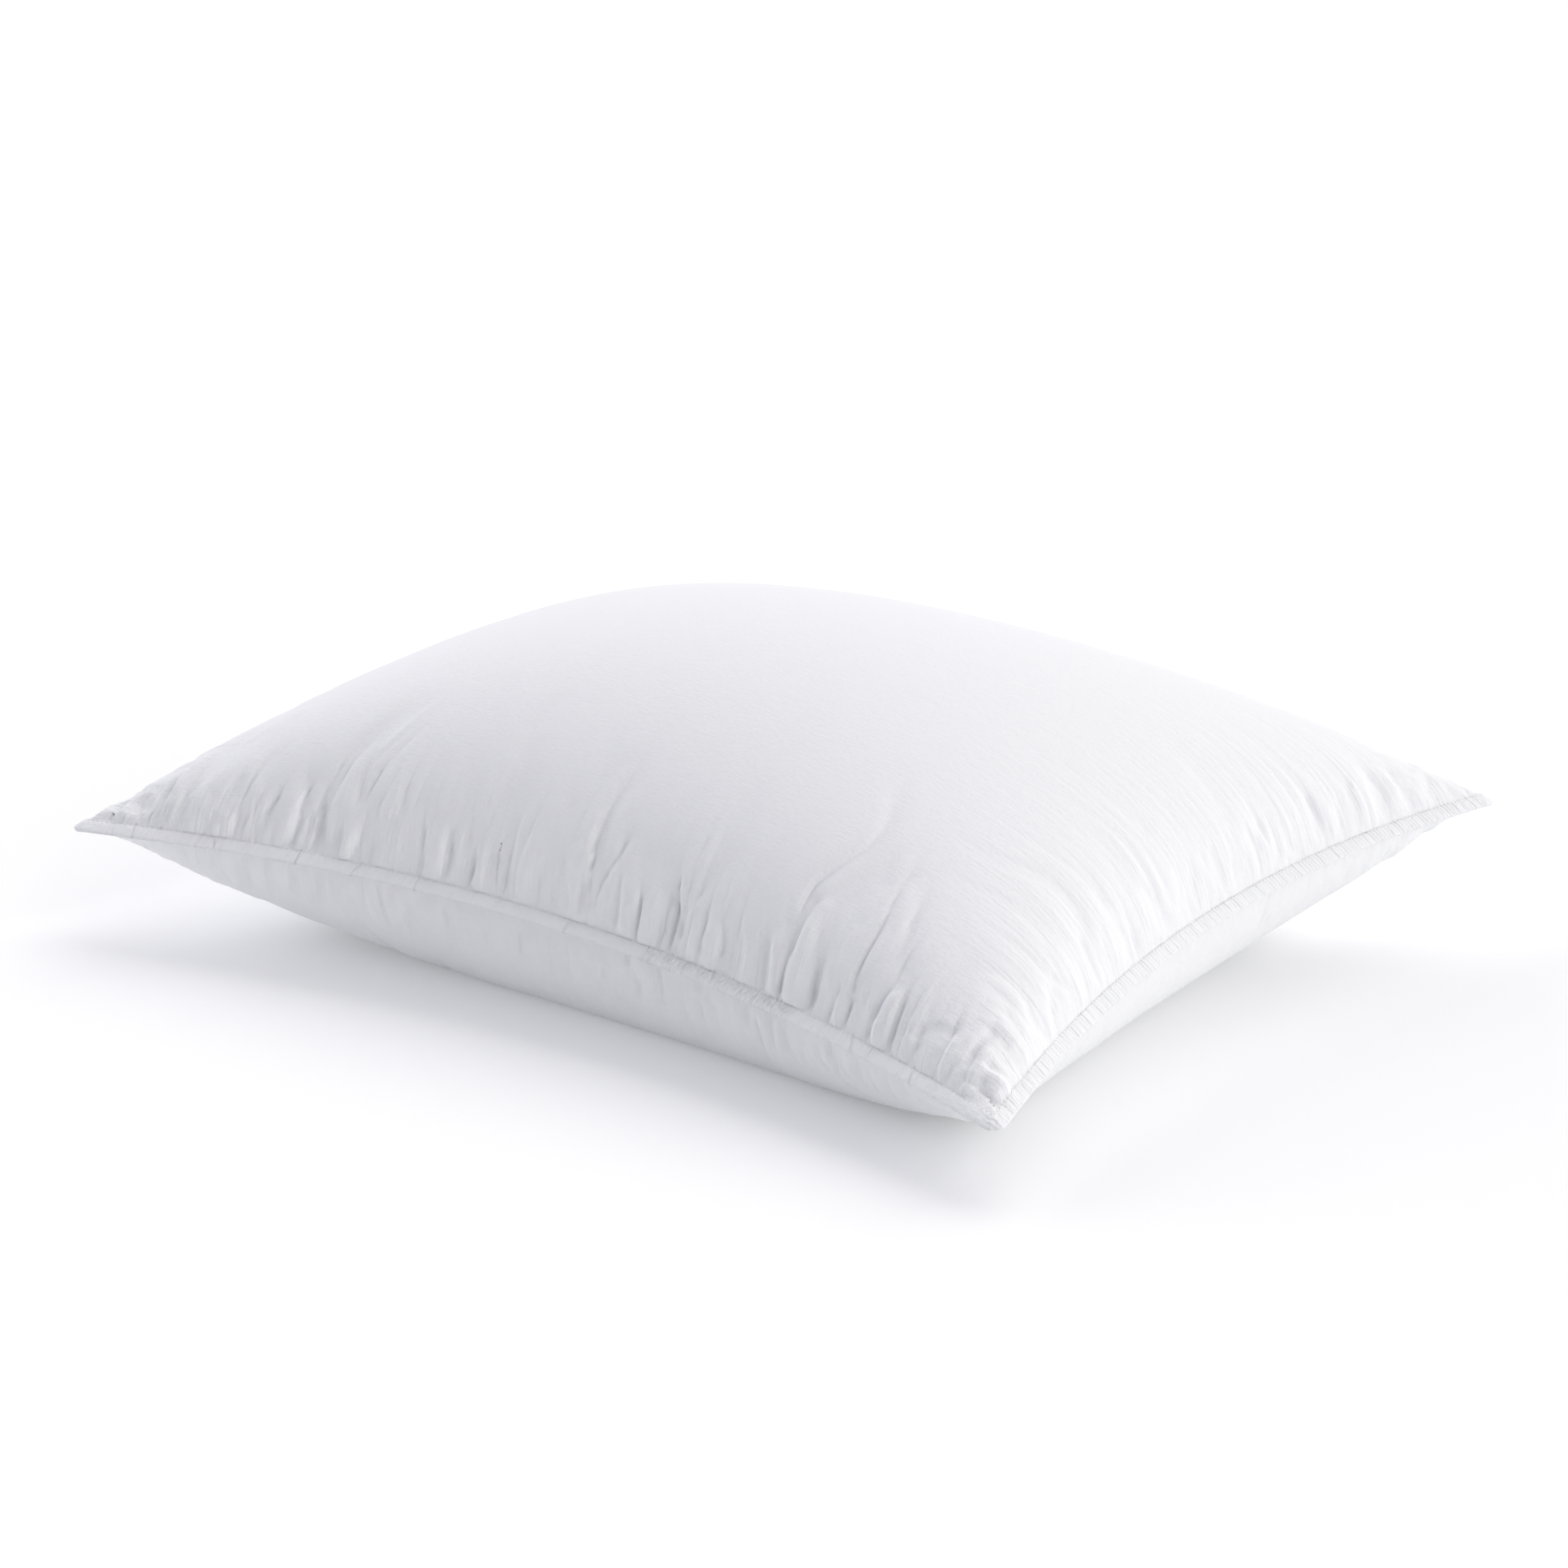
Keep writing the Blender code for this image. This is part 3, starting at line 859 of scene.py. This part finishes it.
def make_filling(top, under, material):
    """The down filling, just inside both panels."""
    step = 0.006
    cells_x, cells_y = round(2 * HALF_X / step), round(2 * HALF_Y / step)
    x, y = np.meshgrid(
        np.linspace(-HALF_X + 0.003, HALF_X - 0.003, cells_x + 1),
        np.linspace(-HALF_Y + 0.003, HALF_Y - 0.003, cells_y + 1),
        indexing="ij",
    )
    grid_x, grid_y = np.meshgrid(top.lines_x, top.lines_y, indexing="ij")
    inside = (np.abs(grid_x) < HALF_X - 0.001) & (np.abs(grid_y) < HALF_Y - 0.001)
    grids = [smoothed(cloth.whole, inside, FILLING_ROUNDS) for cloth in (top, under)]
    upper, lower = (top.on_whole(grid, x, y) for grid in grids)
    thickness = np.linalg.norm(upper - lower, axis=-1)
    inset = np.minimum(DEEPEST + 0.0025, 0.35 * thickness)[..., None]
    upper = upper - top.on_whole(grid_normals(grids[0]), x, y) * inset
    lower = lower + top.on_whole(grid_normals(grids[1]), x, y) * inset
    lower[..., 2] = np.maximum(lower[..., 2], 0.0012)
    inner = np.zeros(x.shape, bool)
    inner[1:-1, 1:-1] = True
    upper[~inner] = (upper[~inner] + lower[~inner]) / 2
    index = np.arange(x.size).reshape(x.shape)
    under_index = index.copy()
    under_index[inner] = x.size + np.arange(inner.sum())

    def quads(grid):
        return np.stack([grid[:-1, :-1], grid[1:, :-1], grid[1:, 1:], grid[:-1, 1:]], -1)

    faces = np.concatenate(
        [quads(index).reshape(-1, 4), quads(under_index).reshape(-1, 4)[:, ::-1]]
    )
    points = np.concatenate([upper.reshape(-1, 3), lower[inner]])
    return add_piece("down_fill", points, faces, material)


def flange_line(out, step):
    """Places round the pillow at that distance outside the topstitched line, anticlockwise."""
    sides = []
    corner = [(math.cos(a), math.sin(a)) for a in np.linspace(0, math.pi / 2, 7)[1:-1]]
    for turn, (half_a, half_b) in enumerate(((HALF_X, HALF_Y), (HALF_Y, HALF_X)) * 2):
        count = round(2 * half_a / step)
        along = np.linspace(-half_a, half_a, count + 1)
        run = [(a, -half_b - out) for a in along]
        run += [(half_a + out * s, -half_b - out * c) for c, s in corner]
        for _ in range(turn):
            run = [(-b, a) for a, b in run]
        sides += run
    return np.array(sides)


def evenly_spaced(points, pitch, closed=True):
    """Share along a line of points for each stitch's two ends and middle, as interpolated rows."""
    line = np.vstack([points, points[:1]]) if closed else points
    run = np.concatenate([[0], np.cumsum(np.linalg.norm(np.diff(line, axis=0), axis=1))])
    count = int(run[-1] / pitch)
    return line, run, (np.arange(count) + 0.5) * run[-1] / count


def stitch_mesh(name, line, normals, run, centres, length, radius, sink, turn, material):
    """A row of short threads that dip into the cloth at both ends. turn slants them."""
    rings, sides = 6, 6
    t = np.linspace(-1, 1, rings)
    width = radius * np.sqrt(np.clip(1 - 0.9 * np.abs(t) ** 5, 0.08, 1))
    arch = radius * 0.75 - sink * np.abs(t) ** 4

    def at(values, places):
        return np.stack([np.interp(places, run, values[:, c]) for c in range(3)], -1)

    middle = at(line, centres)
    ahead = at(line, np.minimum(centres + length / 2, run[-1]))
    back = at(line, np.maximum(centres - length / 2, 0))
    along = ahead - back
    along /= np.linalg.norm(along, axis=1, keepdims=True)
    up = at(normals, centres)
    up -= along * (up * along).sum(1, keepdims=True)
    up /= np.linalg.norm(up, axis=1, keepdims=True)
    across = np.cross(up, along)
    along = along * math.cos(turn) + across * math.sin(turn)
    across = np.cross(up, along)
    angle = np.linspace(0, 2 * math.pi, sides, endpoint=False)
    ring = across[:, None] * np.cos(angle)[None, :, None] + up[:, None] * np.sin(angle)[None, :, None]
    rows = []
    for i in range(rings):
        centre = middle + along * (t[i] * length / 2) + up * arch[i]
        rows.append(centre[:, None] + ring * width[i])
    points = np.stack(rows, 1)
    count = len(centres)
    index = np.arange(points[..., 0].size).reshape(count, rings, sides)
    after = np.roll(index, -1, 2)
    walls = np.stack([index[:, :-1], after[:, :-1], after[:, 1:], index[:, 1:]], -1)
    caps = [index[:, 0, ::-1], index[:, -1]]
    faces = walls.reshape(-1, 4).tolist()
    for cap in caps:
        faces += cap.tolist()
    mesh = bpy.data.meshes.new(name)
    mesh.from_pydata(points.reshape(-1, 3).tolist(), [], faces)
    mesh.shade_smooth()
    mesh.materials.append(material)
    piece = bpy.data.objects.new(name, mesh)
    bpy.context.scene.collection.objects.link(piece)
    return piece


def make_topstitching(name, cloth, side, material):
    """The topstitched line's row of stitches on one face of the flange."""
    out = 0.075 * FLANGE
    places = flange_line(out, 0.0015)
    normals = cloth.fin_normal(places[:, 0], places[:, 1]) * side
    line = cloth.point(places[:, 0], places[:, 1]) + normals * 0.00058
    line, run, centres = evenly_spaced(line, STITCH_PITCH)
    normals = np.vstack([normals, normals[:1]])
    return stitch_mesh(
        name, line, normals, run, centres, STITCH_LENGTH, STITCH_RADIUS, 0.00045, 0.0, material
    )


def make_closing_stitches(cloth, material):
    """The closing seam: slanted stitches close together, where the filling went in."""
    x = np.arange(CLOSING_START_X, CLOSING_END_X, 0.001) * 2 * HALF_X / (SPAN_X - 0.02)
    y = np.full_like(x, -HALF_Y - 0.45 * FLANGE)
    normals = cloth.fin_normal(x, y)
    line = cloth.point(x, y) + normals * 0.00125
    line, run, centres = evenly_spaced(line, 0.0034, closed=False)
    return stitch_mesh(
        "closing_stitches", line, normals, run, centres, 0.0046, 0.0002, 0.0006, 1.15, material
    )


def make_edge_seam(cloth, material):
    """The seam that joins the panels, hidden between the plies just inside the outer edge."""
    places = flange_line(FLANGE - 0.0014, 0.003)
    line = cloth.point(places[:, 0], places[:, 1])
    curve = bpy.data.curves.new("edge_seam", "CURVE")
    curve.dimensions = "3D"
    spline = curve.splines.new("POLY")
    spline.points.add(len(line) - 1)
    for place, point in zip(spline.points, line):
        place.co = (*point, 1)
    spline.use_cyclic_u = True
    curve.bevel_depth = 0.0002
    curve.bevel_resolution = 1
    curve.materials.append(material)
    seam = bpy.data.objects.new("edge_seam", curve)
    bpy.context.scene.collection.objects.link(seam)
    return seam


def make_label(cloth, material):
    """A blank ribbon folded in two, its ends caught in the far side's seam."""
    x = LABEL_X + np.linspace(-0.5, 0.5, 13) * LABEL_WIDTH
    edge = np.full_like(x, HALF_Y + FLANGE)
    root = cloth.point(x, edge)
    out = root - cloth.point(x, edge - FLANGE)
    out /= np.linalg.norm(out, axis=1, keepdims=True)
    up = cloth.fin_normal(x, edge)
    share = np.linspace(0, 1, 17)
    reach = LABEL_REACH * (share - 0.02)
    spread = 0.00018 + 0.0009 * np.sin(share * math.pi / 2) ** 3
    sag = -0.006 * share**2
    bend = np.linspace(math.pi / 2, -math.pi / 2, 9)[1:-1]
    side = [(r, s + d) for r, s, d in zip(reach, spread, sag)]
    turn = [
        (reach[-1] + spread[-1] * math.cos(a), sag[-1] + spread[-1] * math.sin(a)) for a in bend
    ]
    back = [(r, -s + d) for r, s, d in zip(reach[::-1], spread[::-1], sag[::-1])]
    profile = np.array(side + turn + back)
    wave = 0.0007 * np.sin(np.linspace(0, 5.0, len(x)))
    points = (
        root[:, None]
        + out[:, None] * profile[None, :, :1]
        + up[:, None] * profile[None, :, 1:]
        + up[:, None] * (wave[:, None] * np.clip(profile[:, 0] / LABEL_REACH, 0, 1)[None])[..., None]
    )
    index = np.arange(points[..., 0].size).reshape(points.shape[:2])
    faces = np.stack([index[:-1, :-1], index[1:, :-1], index[1:, 1:], index[:-1, 1:]], -1)
    label = add_piece("label_ribbon", points.reshape(-1, 3), faces.reshape(-1, 4), material)
    ribbon = label.modifiers.new("ribbon_thickness", "SOLIDIFY")
    ribbon.thickness = 0.0002
    ribbon.offset = 0.0
    return label


# ---------------------------------------------------------------- stage


def add_camera():
    data = bpy.data.cameras.new("camera")
    data.lens = 85
    data.sensor_width = 36
    camera = bpy.data.objects.new("camera", data)
    azimuth, elevation, distance = math.radians(37.5), math.radians(17.0), 2.11
    target = Vector((0, 0, 0.089))
    direction = Vector(
        (
            math.sin(azimuth) * math.cos(elevation),
            -math.cos(azimuth) * math.cos(elevation),
            math.sin(elevation),
        )
    )
    camera.location = target + direction * distance
    camera.rotation_euler = (-direction).to_track_quat("-Z", "Y").to_euler()
    bpy.context.scene.collection.objects.link(camera)
    bpy.context.scene.camera = camera


def add_sun(name, towards, strength, softness, colour):
    data = bpy.data.lights.new(name, "SUN")
    data.energy, data.angle, data.color = strength, math.radians(softness), colour
    sun = bpy.data.objects.new(name, data)
    sun.rotation_euler = Vector(towards).to_track_quat("Z", "Y").to_euler()
    bpy.context.scene.collection.objects.link(sun)


def add_stage():
    scene = bpy.context.scene
    scene.view_settings.view_transform = "Standard"
    scene.view_settings.look = "None"
    scene.view_settings.exposure = 0
    scene.view_settings.gamma = 1
    world = bpy.data.worlds.new("studio")
    scene.world = world
    world.use_nodes = True
    tree = world.node_tree
    soft = tree.nodes["Background"]
    soft.inputs["Color"].default_value = (0.82, 0.84, 1.0, 1)
    soft.inputs["Strength"].default_value = 0.24
    backdrop = tree.nodes.new("ShaderNodeBackground")
    backdrop.inputs["Color"].default_value = (1, 1, 1, 1)
    backdrop.inputs["Strength"].default_value = 1.0
    path, mix = tree.nodes.new("ShaderNodeLightPath"), tree.nodes.new("ShaderNodeMixShader")
    tree.links.new(path.outputs["Is Camera Ray"], mix.inputs[0])
    tree.links.new(soft.outputs[0], mix.inputs[1])
    tree.links.new(backdrop.outputs[0], mix.inputs[2])
    tree.links.new(mix.outputs[0], tree.nodes["World Output"].inputs[0])
    add_sun("back", (0, 0.62, 0.785), 1.72, 62, (1.0, 0.985, 0.955))
    add_sun("right", (0.94, 0, 0.342), 1.85, 65, (1.0, 0.985, 0.97))
    add_sun("left", (-0.94, 0, 0.342), 1.9, 65, (0.965, 0.96, 1.0))

    mesh = bpy.data.meshes.new("floor")
    mesh.from_pydata([(-30, -30, 0), (30, -30, 0), (30, 30, 0), (-30, 30, 0)], [], [(0, 1, 2, 3)])
    material, tree, shader = principled("white_floor", (0.84, 0.84, 0.84), 0.9)
    shader.inputs["Emission Color"].default_value = (0.97, 0.98, 1.0, 1)
    shader.inputs["Emission Strength"].default_value = 0.15
    mesh.materials.append(material)
    floor = bpy.data.objects.new("floor", mesh)
    scene.collection.objects.link(floor)
    floor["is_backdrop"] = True


def main():
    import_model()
    cad_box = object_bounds()
    add_camera()

    top_grid, under_grid, lines_x, lines_y = simulated_panels()
    top = Cloth(top_grid, lines_x, lines_y, 1, np.random.RandomState(21), 1.0)
    under = Cloth(under_grid, lines_x, lines_y, -1, np.random.RandomState(22), 0.45)
    cotton, thread = cotton_material(), thread_material()
    top_cover = make_cover("top_cover", top, 1, 3, cotton)
    under_cover = make_cover("bottom_cover", under, -1, 5, cotton)
    filling = make_filling(top, under, down_material())
    needle = make_topstitching("needle_stitches", top, 1, thread)
    bobbin = make_topstitching("bobbin_stitches", under, -1, thread)
    closing = make_closing_stitches(top, thread)
    seam = make_edge_seam(top, thread)
    label = make_label(top, ribbon_material())
    for piece, cad_node, slot in (
        (top_cover, "top_panel", "cotton"),
        (under_cover, "bottom_panel", "cotton"),
        (filling, "down_filling", "down"),
        (needle, "topstitch_needle_thread", "thread"),
        (bobbin, "topstitch_bobbin_thread", "thread"),
        (closing, "closing_seam_thread", "thread"),
        (seam, "edge_seam_thread", "thread"),
        (label, "care_label", "satin_ribbon"),
    ):
        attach(piece, "root")
        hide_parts(cad_node)

    add_stage()
    boxes = {"cad": cad_box, "visual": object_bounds()}
    boxes = {name: [list(corner) for corner in box] for name, box in boxes.items()}


main()
